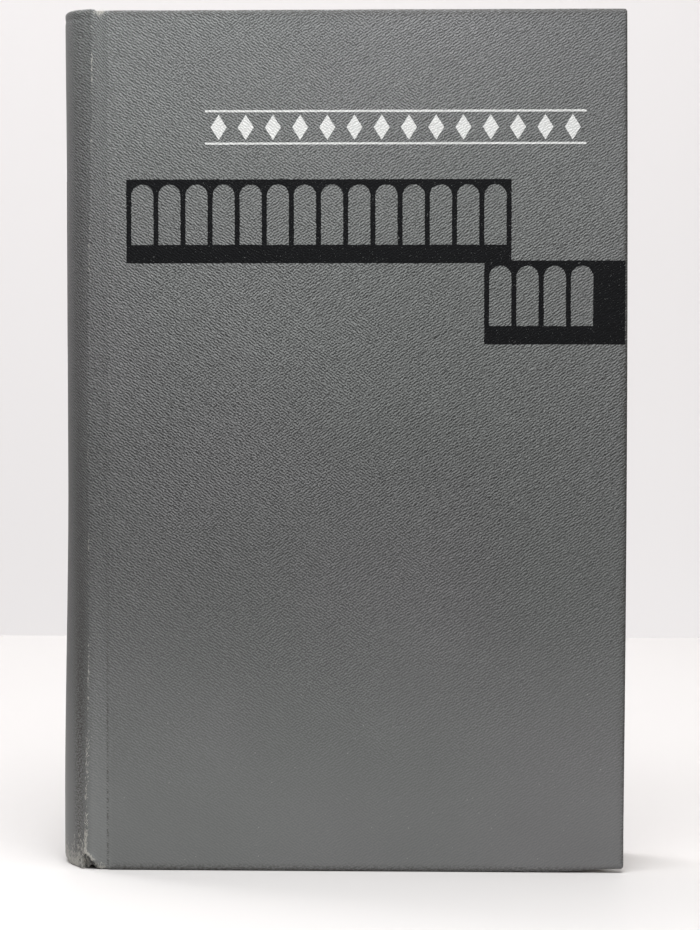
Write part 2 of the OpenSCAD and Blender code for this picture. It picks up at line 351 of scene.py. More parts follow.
def bare_cover(shader, place, up):
    """Where the surface is rubbed away, the pale threads of the cloth show as short strokes."""
    worn = shader.attribute("wear")
    along = shader.math("DIVIDE", shader.add("SeparateXYZ", i0=place).outputs[0], 0.28 * MM)
    stroke = shader.add("CombineXYZ", X=along, Y=shader.math("DIVIDE", up, 0.9 * MM)).outputs[0]
    threads = shader.noise(stroke, 1.0, 2.0, 0.6, 0.3)
    showing = shader.ramp(shader.math("ADD", threads, shader.times(worn, 0.42)), 0.66, 0.86)
    return shader.times(showing, shader.ramp(worn, 0.02, 0.3))


def lint_cover(shader, place):
    """Pin-prick nicks and lint, scattered thinly."""
    specks = shader.add("TexVoronoi", {"voronoi_dimensions": "2D"}, Vector=place, Scale=1 / (3.6 * MM))
    size = shader.ramp(specks.outputs["Color"], 0.4, 1.0, 0.0, 0.04)
    return shader.times(shader.math("LESS_THAN", specks.outputs["Distance"], size), 0.4)


def cover_cloth():
    shader = Shader("cover_cloth", Specular_IOR_Level=0.35)
    height, place, up = grain(shader)
    fresh = freshness(shader, place, up)
    bare = bare_cover(shader, place, up)
    base = dyed_cloth(shader, place, up, height, fresh)
    base = shader.blend(dirt_and_shade_cover(shader, place), base, DIRT_AND_SHADE)
    base = shader.blend(bare, base, BARE_THREAD)
    base = shader.blend(lint_cover(shader, place), base, LINT)
    rough = shader.ramp(shader.math("ADD", height, shader.times(bare, 0.8)), 0, 1.5, 0.44, 0.62)
    shader.bumped(shader.times(height, fresh), 0.05 * MM, 0.8)
    return shader.finish(base, rough)


def foil(name, colour, rough, gaps, painted_crest_light):
    """Pressed pigment: the cloth's grain comes through it, with painted light on its crests and painted
    shade in its hollows, and where it has flaked the grey cloth shows.
    """
    shader = Shader(name, Specular_IOR_Level=0.1)
    height, place, _ = grain(shader)
    flakes = shader.noise(place, 1 / (0.33 * MM), 3.0, 0.65)
    flaked = shader.ramp(flakes, gaps, gaps + 0.04)
    # Painted light and shade over the grain: crests lighter, hollows darker.
    tone = shader.ramp(height, 0, 1, 1 - painted_crest_light, 1 + painted_crest_light)
    base = shader.blend(flaked, shader.scaled(colour, tone), (0.2, 0.205, 0.2, 1))
    shader.bumped(height, 0.07 * MM, 0.7)
    return shader.finish(base, shader.ramp(height, 0, 1, rough, rough + 0.12))


def paper(name, colour, stain_colour, stain_scale):
    """Book paper, with faint fibres and stains, and the tone of each leaf from its own attribute."""
    shader = Shader(name, Specular_IOR_Level=0.2)
    place = shader.place()
    fibres = shader.noise(place, 1 / (0.7 * MM), 4.0, 0.7)
    stains = shader.ramp(shader.noise(place, stain_scale, 3.0, 0.6), 0.35, 0.7)
    tone = shader.math("ADD", 0.82, shader.times(shader.attribute("leaf"), 0.34))
    tone = shader.times(tone, shader.ramp(fibres, 0.3, 0.7, 0.97, 1.03))
    shader.bumped(fibres, 0.02 * MM, 0.5)
    return shader.finish(shader.scaled(shader.blend(stains, colour, stain_colour), tone), 0.85)


def gauze_material():
    shader = Shader("glued_gauze", Specular_IOR_Level=0.2)
    place = shader.place()
    weave = []
    for direction in "YZ":
        bands = {"bands_direction": direction}
        wave = shader.add("TexWave", bands, Vector=place, Scale=1 / (1.6 * MM), Distortion=0.6)
        weave.append(wave.outputs["Fac"])
    threads = shader.math("MAXIMUM", weave[0], weave[1])
    base = shader.blend(threads, (0.42, 0.37, 0.28, 1), (0.60, 0.56, 0.46, 1))
    shader.bumped(threads, 0.06 * MM)
    return shader.finish(base, 0.9)


def thread_material():
    shader = Shader("headband_thread", Specular_IOR_Level=0.3, Sheen_Weight=0.25)
    place = shader.place()
    strands = shader.noise(place, 1 / (0.25 * MM), 3.0, 0.6)
    base = shader.blend(strands, (0.50, 0.46, 0.38, 1), (0.68, 0.65, 0.57, 1))
    shader.bumped(strands, 0.04 * MM)
    return shader.finish(base, 0.75)


def fibre_material():
    shader = Shader("loose_fibre", Specular_IOR_Level=0.3)
    place = shader.place()
    tone = shader.noise(place, 1 / (0.6 * MM), 1.0)
    return shader.finish(shader.blend(tone, (0.40, 0.39, 0.36, 1), (0.62, 0.60, 0.55, 1)), 0.8)


CLOTH_MATERIAL = cover_cloth()
# The last number is how strongly light and shade are painted over the grain.
BLACK_FOIL = foil("black_foil", (0.0042, 0.0045, 0.0052, 1), 0.5, 0.655, 0.5)
WHITE_FOIL = foil("white_foil", (0.57, 0.57, 0.56, 1), 0.5, 0.70, 0.2)
LEAF_PAPER = paper("leaf_paper", (0.52, 0.46, 0.345, 1), (0.46, 0.39, 0.28, 1), 60.0)
ENDPAPER = paper("endpaper", (0.70, 0.665, 0.575, 1), (0.68, 0.635, 0.53, 1), 18.0)
GAUZE = gauze_material()
THREAD = thread_material()
FIBRE = fibre_material()


# ---- The case: one sheet of cloth over two boards and the card in the spine ----

BOARD_EDGE_R = 0.9 * MM
CORNER_R = 0.8 * MM
# Steps of the section: round the back, over the ridge, for each stretch of the joint, along the board and
# over the fore-edge; and steps over the ends of the cloth.
ARC_STEPS, RIDGE_STEPS, JOINT_STEPS, BOARD_STEPS, FORE_STEPS = 26, 10, 5, 34, 9
CAP_STEPS = 7
# Where the joint ends and the flat of the board begins, past the board's edge.
FLAT_X = EDGE_X + 1.9 * MM


def on_spine(r, angle):
    return (CENTRE_X - r * math.cos(angle), r * math.sin(angle))


def spine_pairs():
    """Round half the back, from its middle."""
    pairs = []
    for i in range(ARC_STEPS):
        angle = RIDGE_ANGLE * i / ARC_STEPS
        pairs.append((on_spine(CARD_R + HALF_WALL, angle), on_spine(CARD_R - HALF_WALL, angle)))
    return pairs


def ridge_pairs():
    """Round the edge of the card, down towards the joint."""
    x, y = on_spine(CARD_R - HALF_WALL, RIDGE_ANGLE)
    pairs = []
    for i in range(RIDGE_STEPS):
        t = i / RIDGE_STEPS
        angle = mix(math.pi - RIDGE_ANGLE, math.radians(50), t)
        outer = (RIDGE_X + HALF_WALL * math.cos(angle), RIDGE_Y + HALF_WALL * math.sin(angle))
        pairs.append((outer, (x + 1.3 * MM * t, y + 0.22 * MM * t)))
    return pairs


def joint_pairs():
    """The joint's cloth falls from the ridge, meets the board's edge low down and climbs over it."""
    inner_y = on_spine(CARD_R - HALF_WALL, RIDGE_ANGLE)[1]
    outer = [
        (RIDGE_X + 0.52 * MM, RIDGE_OUT_Y - 0.12 * MM),
        (RIDGE_X + 1.4 * MM, RIDGE_OUT_Y - 0.18 * MM),
        (RIDGE_X + 2.5 * MM, RIDGE_OUT_Y - 0.21 * MM),
        (EDGE_X - 0.95 * MM, RIDGE_OUT_Y - 0.15 * MM),
        (EDGE_X - 0.4 * MM, RIDGE_OUT_Y - 0.04 * MM),
        (EDGE_X + 0.1 * MM, RIDGE_OUT_Y + 0.11 * MM),
        (EDGE_X + 0.8 * MM, FACE_Y - 0.10 * MM),
        (FLAT_X, FACE_Y),
    ]
    inner = [
        (RIDGE_X + 0.95 * MM, inner_y + 0.2 * MM),
        (RIDGE_X + 1.5 * MM, RIDGE_OUT_Y - 1.05 * MM),
        (RIDGE_X + 2.5 * MM, RIDGE_OUT_Y - 1.25 * MM),
        (EDGE_X - 1.0 * MM, RIDGE_OUT_Y - 1.42 * MM),
        (EDGE_X - 0.45 * MM, BOARD_IN_Y + 0.22 * MM),
        (EDGE_X + 0.05 * MM, BOARD_IN_Y + 0.06 * MM),
        (EDGE_X + 0.75 * MM, BOARD_IN_Y),
        (FLAT_X, BOARD_IN_Y),
    ]
    return list(zip(curve_through(outer, JOINT_STEPS), curve_through(inner, JOINT_STEPS)))[:-1]


def board_pairs():
    """Along the board and over its fore-edge, in shorter steps towards both ends."""
    stop = FORE_X - BOARD_EDGE_R
    pairs = []
    for i in range(BOARD_STEPS):
        t = i / BOARD_STEPS
        x = mix(FLAT_X, stop, mix(t, smooth(0, 1, t), 0.75))
        pairs.append(((x, FACE_Y), (x, BOARD_IN_Y)))
    middle, half = (FACE_Y + BOARD_IN_Y) / 2, (FACE_Y - BOARD_IN_Y) / 2
    for i in range(FORE_STEPS + 1):
        turn = math.pi / 2 * i / FORE_STEPS
        x = stop + BOARD_EDGE_R * math.sin(turn) ** 0.7
        y = half * math.cos(turn) ** 0.55 if i < FORE_STEPS else 0
        pairs.append(((x, middle + y), (x, middle - y)))
    return pairs


def case_section():
    """The section of half the case: (outer point, inner point) pairs from the middle of the back to the
    fore-edge, and the numbers of the pairs where the ridge, the joint and the board begin."""
    pairs = spine_pairs()
    starts = []
    for more in (ridge_pairs(), joint_pairs(), board_pairs()):
        starts.append(len(pairs))
        pairs += more
    return pairs, *starts


SECTION, RIDGE_AT, JOINT_AT, BOARD_AT = case_section()
# Distance of each pair of the section along the outside of the girth.
GIRTH = [0.0]
for (a, _), (b, _) in zip(SECTION, SECTION[1:]):
    GIRTH.append(GIRTH[-1] + math.dist(a, b))
RIDGE_S = GIRTH[(RIDGE_AT + JOINT_AT) // 2]
JOINT_END_S = GIRTH[BOARD_AT]


def girth_at(x):
    """Distance along the girth of a point on the flat of a board."""
    return JOINT_END_S + x - SECTION[BOARD_AT][0][0]


# Heights of the rows of the case, as shares of its height: close together by the worn tail and the head.
TAIL_ROWS = [0.6 * MM * i for i in range(38)]
MIDDLE_ROWS = [mix(23 * MM, HEIGHT - 10.5 * MM, i / 34) for i in range(35)]
HEAD_ROWS = [HEIGHT - 0.5 * MM * i for i in range(20, -1, -1)]
ROWS = [z / HEIGHT for z in TAIL_ROWS + MIDDLE_ROWS + HEAD_ROWS]


class WearAndPaintedLight:
    """What years of use did to one half of the case, and the light and shade painted into its cloth.
    Distances are along the girth and up the book.
    """

    def __init__(self, side):
        self.front = side == FRONT
        self.seed = 3.7 if self.front else 11.2

    def ridge_shift(self, z):
        """How far the ridge lies from its line: pulled over at the head, slack at the tail."""
        over = mix(0.3, 1.55, smooth(0.55 * HEIGHT, HEIGHT, z)) * MM
        slack = mix(1.0, 0, smooth(0, 0.3 * HEIGHT, z)) * MM
        return (over - slack) * (1 if self.front else 0.4)

    def belly(self, z):
        """How far the back of the spine bellies out: most over its tail, which takes the weight."""
        return (1.15 * smooth(0.46 * HEIGHT, 0.06 * HEIGHT, z) + 0.2 * smooth(0.8 * HEIGHT, HEIGHT, z)) * MM

    def joint_depth(self, z):
        """The joint is pressed deeper towards the head."""
        return mix(1.0, 1.05, smooth(0, HEIGHT, z))

    def shape(self, i, z, point, inside=False):
        """Where a point of the outside or the inside of a pair lies after wear."""
        x, y = point
        s = GIRTH[i]
        x += self.ridge_shift(z) * bump(RIDGE_S, 5.5 * MM, s) * (0.4 if inside else 1)
        x -= self.belly(z) * smooth(12 * MM, 1 * MM, s)
        # The fore-edge has drawn in a little towards the corners.
        from_middle = min(abs(z - 0.55 * HEIGHT) / (0.45 * HEIGHT), 1.1)
        x -= 0.38 * MM * from_middle**2 * smooth(FORE_X - 30 * MM, FORE_X, x)
        if inside:
            return x, y
        past_ridge = smooth(RIDGE_S + 0.4 * MM, RIDGE_S + 2.2 * MM, s)
        in_joint = past_ridge * smooth(JOINT_END_S, JOINT_END_S - 1.8 * MM, s)
        y = mix(y, FACE_Y - (FACE_Y - y) * self.joint_depth(z), in_joint)
        # Slow unevenness of cloth and board.
        fade = smooth(0, 6 * MM, s)
        y += 0.10 * MM * wander(x, z, self.seed, 0.035) * fade
        y += 0.03 * MM * wander(x, z, self.seed + 5, 0.007) * fade
        # The turned-in cloth at the head of the spine shows as a fold just under it.
        fold = bump(HEIGHT - 1.7 * MM, 0.7 * MM, z) * smooth(RIDGE_S, RIDGE_S - 1.5 * MM, s)
        x += 0.14 * MM * fold
        y -= 0.10 * MM * fold * smooth(0, 4 * MM, s)
        if self.front:
            x, y = self.crush(s, z, x, y)
        return x, y

    def dent(self, s, z):
        """Where the tail end of the front ridge is knocked in, 0 to 1, and the frayed lip above it."""
        across = smooth(RIDGE_S - 1.5 * MM, RIDGE_S - 0.6 * MM, s)
        across *= smooth(RIDGE_S + 3.0 * MM, RIDGE_S + 1.0 * MM, s)
        lip_z = mix(4.0, 0.9, smooth(RIDGE_S - 1.2 * MM, RIDGE_S + 2.8 * MM, s)) * MM
        knocked_in = across * smooth(lip_z + 0.4 * MM, lip_z - 0.5 * MM, z)
        return knocked_in, across * bump(lip_z + 0.8 * MM, 1.3 * MM, z)

    def crush(self, s, z, x, y):
        """Where a point of the front ridge lies after the blow to its tail end."""
        dent, lip = self.dent(s, z)
        # The tip left of the dent is pushed out and down.
        tip = bump(RIDGE_S - 2.6 * MM, 1.8 * MM, s) * smooth(5 * MM, 0.5 * MM, z)
        return x + 0.25 * MM * dent, y - 2.1 * MM * dent + 0.35 * MM * lip + 0.5 * MM * tip

    def ends(self, i):
        """Height of the tail and head ends of the cloth at a pair of the section."""
        s, x = GIRTH[i], SECTION[i][0][0]
        low, high = 0.0, HEIGHT
        # The spine's turned-in cap stands a little over the boards, and sinks to the middle of the back.
        high += 0.42 * MM * smooth(RIDGE_S + 2.2 * MM, RIDGE_S - 1 * MM, s)
        high -= 0.3 * MM * smooth(9 * MM, 1 * MM, s) + 0.05 * MM * bump(RIDGE_S + 3.6 * MM, 1.6 * MM, s)
        # The tail is rubbed up in the joint and over the middle of the back.
        low += 0.30 * MM * bump(RIDGE_S + 3.4 * MM, 2.2 * MM, s)
        low += 1.2 * MM * smooth(4.5 * MM, 0.5 * MM, s) + 0.9 * MM * smooth(7.5 * MM, 4.5 * MM, s)
        if self.front:
            # Only the tip beside the dent still reaches the table.
            low += 1.15 * MM * bump(RIDGE_S + 0.5 * MM, 1.7 * MM, s)
        high += 0.06 * MM * wander(s, self.seed, 0, 0.006)
        to_fore = FORE_X - x
        low += 0.9 * MM * smooth(20 * MM, 0, to_fore)
        if to_fore < CORNER_R:
            cut = CORNER_R - math.sqrt(max(CORNER_R**2 - (CORNER_R - to_fore) ** 2, 0))
            low, high = low + cut, high - cut
        return low, high

    def bare(self, s, z, x):
        """How rubbed the cloth is, 0 to 1."""
        from_end = min(z, HEIGHT - z)
        along_ridge = mix(0.27, 0.62, smooth(60 * MM, 5 * MM, z)) + 0.08 * smooth(0.8 * HEIGHT, HEIGHT, z)
        width = mix(0.55, 0.95, smooth(42 * MM, 4 * MM, z)) * MM
        uneven = 0.35 * wander(s, z, self.seed, 0.009) + 0.8 * wander(s, z, self.seed, 0.0022)
        ridge_line = bump(RIDGE_S - 0.3 * width, width, s) * (along_ridge - 0.06 + uneven)
        head = smooth(RIDGE_S + 1 * MM, RIDGE_S - 1 * MM, s) * smooth(HEIGHT - 1.4 * MM, HEIGHT, z) * 0.35
        tail = smooth(RIDGE_S + 1 * MM, RIDGE_S - 1 * MM, s) * smooth(11 * MM, 0.5 * MM, z)
        tail *= 0.62 + 0.5 * wander(s, 0.3 * z, self.seed, 0.0016)
        joint_ends = bump(RIDGE_S + 2.5 * MM, 4.2 * MM, s) * smooth(2.6 * MM, 0.3 * MM, from_end) * 0.8
        corners = smooth(5 * MM, 1 * MM, math.hypot(FORE_X - x, from_end)) * 0.25
        lip = self.dent(s, z)[1] if self.front else 0
        dent = self.dent(s, z)[0] if self.front else 0
        worn = max(ridge_line, head, tail, joint_ends, corners, lip)
        return min(max(worn * (1 - 0.8 * dent), 0), 1)

    def tone(self, s, z, x):
        """Painted light and shade in the cloth, with the boards' edges darkened by handling: under 1 is
        darker, over 1 paler.
        """
        # Painted light and shade in the joint: paler low down as a painted reflection of the table, a
        # little darker higher up as painted shade.
        joint = smooth(RIDGE_S + 0.3 * MM, RIDGE_S + 1.5 * MM, s)
        joint *= smooth(JOINT_END_S - 0.6 * MM, JOINT_END_S - 2.2 * MM, s)
        value = 1 + joint * mix(0.18, -0.04, smooth(0.05 * HEIGHT, 0.5 * HEIGHT, z))
        # Painted shade in the joint just past the ridge, in the upper part.
        value -= 0.1 * bump(RIDGE_S + 1.0 * MM, 2.4 * MM, s) * smooth(0.15 * HEIGHT, 0.4 * HEIGHT, z)
        # Painted light on the step over the board's edge, against its shading.
        value += 0.1 * bump(JOINT_END_S - 1.7 * MM, 1.7 * MM, s)
        # Painted shade towards the fore-edge in the upper part.
        value -= 0.12 * smooth(0.2 * FORE_X, FORE_X, x) * smooth(0.6 * HEIGHT, 0.95 * HEIGHT, z)
        # Painted shade along the ridge, against its highlight.
        value -= 0.09 * bump(RIDGE_S, 1.4 * MM, s) * smooth(0.15 * HEIGHT, 0.4 * HEIGHT, z)
        # Painted shade over the spine, strongest at middle heights and weaker at the head.
        spine = smooth(RIDGE_S + 0.3 * MM, RIDGE_S - 3 * MM, s)
        value -= 0.2 * spine * smooth(8 * MM, 60 * MM, z) * mix(1, 0.25, smooth(0.7 * HEIGHT, HEIGHT, z))
        # Painted light over the middle of the back near the tail, as if thrown up from the table.
        value += 0.2 * smooth(8 * MM, 2 * MM, s) * smooth(45 * MM, 10 * MM, z)
        # The boards' edges are dark from handling.
        edge = max(smooth(1.1 * MM, 0.2 * MM, min(z, HEIGHT - z)), smooth(1.1 * MM, 0.2 * MM, FORE_X - x))
        return value - 0.35 * edge * smooth(JOINT_END_S - 2 * MM, JOINT_END_S, s)

    def dirt(self, s, z, x):
        """How thick dirt and painted shade lie in the blotches, 0 to 1."""
        # Darker beside the ridge on the back, most towards the tail.
        beside_ridge = bump(RIDGE_S - 3.6 * MM, 4.4 * MM, s)
        amount = beside_ridge * mix(1.0, 0.12, smooth(25 * MM, 95 * MM, z))
        # A dotted line of painted shade in the crease where the cloth bends over the board's edge, and dark
        # edges from handling.
        dotted = bump(JOINT_END_S - 1.8 * MM, 0.5 * MM, s) * smooth(0.45 * HEIGHT, 0.1 * HEIGHT, z)
        amount = max(amount, 0.6 * dotted)
        near_end = smooth(2.2 * MM, 0.1 * MM, min(z, HEIGHT - z))
        near_edge = max(near_end, smooth(1.8 * MM, 0.1 * MM, FORE_X - x))
        amount = max(amount, 0.75 * near_edge * smooth(JOINT_END_S - 2 * MM, JOINT_END_S, s))
        if self.front:
            # Painted shade inside the knocked-in dent.
            amount = max(amount, 0.9 * self.dent(s, z)[0])
        return amount


def case_half(name, side):
    """Half of the case's cloth, as a closed skin over board, card and joint, with its edges turned over."""
    wear = WearAndPaintedLight(side)
    vertices, cloth, bare, tone, dirt = [], [], [], [], []
    for i, s in enumerate(GIRTH):
        for (x, y, z), height in case_column(wear, i):
            vertices.append((x, side * y, z))
            cloth.append((-side * s, height, 0))
            level = min(max(z, 0), HEIGHT)
            bare.append(wear.bare(s, level, x))
            tone.append(wear.tone(s, level, x))
            dirt.append(wear.dirt(s, level, x))
    ring = 2 * (len(ROWS) + CAP_STEPS)
    faces = []
    for i in range(len(SECTION) - 1):
        for j in range(ring):
            a, b = i * ring + j, i * ring + (j + 1) % ring
            faces.append((a, a + ring, b + ring, b) if side == FRONT else (a, b, b + ring, a + ring))
    # The cut through the middle of the back, where the other half goes on.
    mate = [(2 * len(ROWS) + CAP_STEPS - 1 - j) % ring for j in range(ring)]
    for j in range(len(ROWS) - 1):
        quad = (j, j + 1, mate[j + 1], mate[j])
        faces.append(quad if side == FRONT else quad[::-1])
    piece = add_object(name, vertices, faces, CLOTH_MATERIAL)
    add_attribute(piece, "cloth", "FLOAT_VECTOR", cloth)
    add_attribute(piece, "wear", "FLOAT", bare)
    # The tone holds painted light and shade, and the dirt blotches also hold painted shade.
    add_attribute(piece, "tone", "FLOAT", tone)
    add_attribute(piece, "dirt", "FLOAT", dirt)
    weld(piece)
    return piece


def case_column(wear, i):
    """The ring of points at one pair of the section: up the outside, over the head, down the inside and
    under the tail, each with its height on the cloth when it is laid flat."""
    outer, inner = SECTION[i]
    low, high = wear.ends(i)
    thick = math.dist(outer, inner)
    roll = min(BOARD_EDGE_R, 0.4 * thick)
    square = mix(2.2, 3.2, smooth(0.8 * MM, 2.4 * MM, thick))
    heights = [low + roll + (high - low - 2 * roll) * t for t in ROWS]
    outside = [(wear.shape(i, z, outer), z) for z in heights]
    inside = [(wear.shape(i, z, inner, True), z) for z in heights]
    column = [((x, y, z), z) for (x, y), z in outside]
    head = cap(outside[-1], inside[-1][0], roll, square, 1)
    column += [(point, high + 1.2 * roll * t) for point, t in head]
    for j, ((x, y), z) in enumerate(reversed(inside)):
        column.append(((x, y, z), 2 * high - z if j < len(heights) / 2 else -z))
    tail = cap(outside[0], inside[0][0], roll, square, -1)
    return column + [(point, low - 1.2 * roll * t) for point, t in reversed(tail)]


def cap(outside, inner, roll, square, way):
    """Points over the end of the cloth from outside to inside, each with how far round it is, 0 to 2."""
    (x, y), z = outside
    found = []
    for k in range(1, CAP_STEPS + 1):
        turn = math.pi * k / (CAP_STEPS + 1)
        across = math.copysign(abs(math.cos(turn)) ** (2 / square), math.cos(turn))
        over = abs(math.sin(turn)) ** (2 / square)
        t = (1 - across) / 2
        found.append(((mix(x, inner[0], t), mix(y, inner[1], t), z + way * roll * over), 2 * t))
    return found


def weld(piece):
    """Closes the skin where its sides meet in a line."""
    bm = bmesh.new()
    bm.from_mesh(piece.data)
    bmesh.ops.remove_doubles(bm, verts=bm.verts, dist=1e-7)
    bmesh.ops.dissolve_degenerate(bm, edges=bm.edges, dist=1e-8)
    bmesh.ops.recalc_face_normals(bm, faces=bm.faces)
    bm.to_mesh(piece.data)
    bm.free()
    piece.data.polygons.foreach_set("use_smooth", [True] * len(piece.data.polygons))


def bend_at_joint(piece):
    """Bakes the piece's placing into its mesh; the piece is not bent."""
    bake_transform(piece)


def make_case():
    for side, body, cad in ((FRONT, "front_cover", "front"), (BACK, "back_cover", "back")):
        piece = case_half(f"{cad}_case_cloth", side)
        bend_at_joint(piece)
        nodes = [f"{cad}_cloth", f"{cad}_joint_cloth", f"{cad}_board"]
        if side == FRONT:
            nodes += ["spine_cloth", "spine_card"]
        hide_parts(*nodes)


make_case()


# ---- Stamping ----

FOIL_T = 0.04 * MM
FOIL_PROUD = 0.02 * MM
# Longest edges of the foil's mesh, inside it and along its rim.
FOIL_CELL, FOIL_RIM_CELL = 1.1 * MM, 0.36 * MM


def too_long(edge):
    return edge.calc_length() > (FOIL_RIM_CELL if edge.is_boundary else FOIL_CELL)


def node_faces(node, keep):
    """The faces of a CAD node whose normal passes the test, as a bmesh cut into small cells."""
    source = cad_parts[node]
    bm = bmesh.new()
    bm.from_mesh(source.data)
    bm.transform(source.matrix_world)
    bmesh.ops.remove_doubles(bm, verts=bm.verts, dist=1e-6)
    bm.normal_update()
    bmesh.ops.delete(bm, geom=[f for f in bm.faces if not keep(f.normal)], context="FACES")
    for _ in range(9):
        long_edges = [e for e in bm.edges if too_long(e)]
        if not long_edges:
            break
        bmesh.ops.subdivide_edges(bm, edges=long_edges, cuts=1, use_grid_fill=False)
        bmesh.ops.triangulate(bm, faces=[f for f in bm.faces if len(f.verts) > 3])
    return bm


def wear_foil(bm, ragged, chips):
    """Makes the rim of a foil ragged, and picks small chips out of it."""
    border = {v for e in bm.edges if e.is_boundary for v in e.verts}
    for v in border:
        x, z = v.co.x, v.co.z
        for scale, amount in ((0.9 * MM, 0.55), (0.25 * MM, 0.6)):
            v.co.x += ragged * amount * wander(x, z, 2.0, scale)
            v.co.z += ragged * amount * wander(x, z, 9.0, scale)
    small = [f for f in bm.faces if f.calc_area() < FOIL_RIM_CELL**2]
    inside = [f for f in small if not any(v in border for v in f.verts)]
    picked = rng.choice(len(inside), size=min(chips, len(inside)), replace=False) if inside else []
    bmesh.ops.delete(bm, geom=[inside[k] for k in sorted(picked)], context="FACES")


def thickened(piece):
    """The mesh of the piece, made FOIL_T thick inwards."""
    solidify = piece.modifiers.new("thickness", "SOLIDIFY")
    solidify.thickness = FOIL_T
    solidify.offset = -1
    bpy.context.view_layer.update()
    evaluated = piece.evaluated_get(bpy.context.evaluated_depsgraph_get())
    solid = bpy.data.meshes.new_from_object(evaluated)
    piece.modifiers.clear()
    return solid


def foil_piece(name, node, material, keep, lay, ragged, chips):
    """A thin foil with a CAD node's outline. `lay` gives where a point lies and its place on the cloth."""
    bm = node_faces(node, keep)
    wear_foil(bm, ragged, chips)
    for v in bm.verts:
        v.co = lay(v.co)[0]
    mesh = bpy.data.meshes.new(name)
    bm.to_mesh(mesh)
    bm.free()
    mesh.materials.clear()
    mesh.materials.append(material)
    piece = bpy.data.objects.new(name, mesh)
    bpy.context.scene.collection.objects.link(piece)
    piece.data = thickened(piece)
    add_attribute(piece, "cloth", "FLOAT_VECTOR", [lay(v.co)[1] for v in piece.data.vertices])
    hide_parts(node)
    return piece


def on_cover(p):
    uneven = 0.10 * MM * wander(p.x, p.z, 3.7, 0.035) + 0.03 * MM * wander(p.x, p.z, 8.7, 0.007)
    return Vector((p.x, -(FACE_Y + uneven + FOIL_PROUD), p.z)), (girth_at(p.x), p.z, 0)


def on_back(p):
    angle = math.atan2(p.y, CENTRE_X - p.x)
    x, y = on_spine(CARD_R + HALF_WALL + FOIL_PROUD, angle)
    return Vector((x, y, p.z)), (-(CARD_R + HALF_WALL) * angle, p.z, 0)


def faces_front(normal):
    return normal.y < -0.9


def faces_left(normal):
    return normal.x < -0.8


def make_stamping():
    for name, node, material, slot, ragged, chips in (
        ("front_black_bands", "front_band_stamp", BLACK_FOIL, "black_foil", 0.2 * MM, 60),
        ("front_white_lozenges", "front_lozenge_stamp", WHITE_FOIL, "white_foil", 0.1 * MM, 12),
    ):
        piece = foil_piece(name, node, material, faces_front, on_cover, ragged, chips)
        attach(piece, "front_cover")
    for name, node, material, slot in (
        ("spine_black_panel", "spine_band_stamp", BLACK_FOIL, "black_foil"),
        ("spine_white_rules", "spine_rule_stamp", WHITE_FOIL, "white_foil"),
    ):
        piece = foil_piece(name, node, material, faces_left, on_back, 0.10 * MM, 10)
        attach(piece, "text_block")


make_stamping()


# ---- Leaves ----

# Folded sheets to a gathering, the air between them as a share of their pitch, the steps round a fold
# and the rows of points up a leaf.
SHEETS = 8
SHEET_GAP = 0.22
FOLD_TURNS = 5
LEAF_ROWS = 6


def flare(s):
    """How much a leaf still leans with the back of the block, 1 at its fold and 0 past the shoulder."""
    return (1 + math.cos(math.pi * s / SHOULDER_L)) / 2 if s < SHOULDER_L else 0


def leaf_point(s, y):
    """Where a leaf lies, s from its fold, at half thickness y of the block on the flat."""
    at_back = y * HALF_BACK / HALF_BLOCK
    return CENTRE_X - math.sqrt(BACK_R**2 - at_back**2) + s, y + (at_back - y) * flare(s)


def sheet_path(low, high, trim):
    """Path of one folded sheet: in along its lower leaf, round the fold and out along its upper leaf."""
    middle, r = (low + high) / 2, (high - low) / 2
    stations = [PAGE_W + trim, PAGE_W - 2 * MM, 0.8 * PAGE_W, 0.5 * PAGE_W, 0.2 * PAGE_W, 6 * MM, 3.6 * MM]
    stations += [SHOULDER_L * t for t in (0.85, 0.65, 0.45)]
    stations = [s for s in stations if s > r] + [r]
    path = [leaf_point(s, low) for s in stations]
    for k in range(1, FOLD_TURNS):
        turn = math.pi * k / FOLD_TURNS
        path.append(leaf_point(r - r * math.sin(turn), middle - r * math.cos(turn)))
    return path + [leaf_point(s, high) for s in reversed(stations)]


def leaf_bow(x, z):
    """How far a leaf waves aside, more towards the fore-edge."""
    return 0.16 * MM * smooth(CENTRE_X, FORE_X, x) * math.sin(z * 31 + 1.3) * math.sin((x - BACK_X) * 26)


def sheet_mesh(path, thick, z_low, z_high, tone, build):
    """Adds one folded sheet of paper to the lists of a gathering."""
    vertices, faces, tones = build
    first = len(vertices)
    points = np.array(path)
    ahead = np.roll(points, -1, 0) - np.roll(points, 1, 0)
    ahead[0], ahead[-1] = points[1] - points[0], points[-1] - points[-2]
    across = np.stack([-ahead[:, 1], ahead[:, 0]], 1) / np.linalg.norm(ahead, axis=1)[:, None]
    rows = np.linspace(z_low, z_high, LEAF_ROWS)
    for way in (1, -1):
        for z in rows:
            for (x, y), (nx, ny) in zip(points, across):
                bow = leaf_bow(x, z)
                vertices.append((x + way * nx * thick / 2, y + bow + way * ny * thick / 2, z))
    columns = len(points)
    faces += [tuple(first + k for k in face) for face in slab_faces(LEAF_ROWS, columns)]
    tones += [tone] * (2 * LEAF_ROWS * columns)


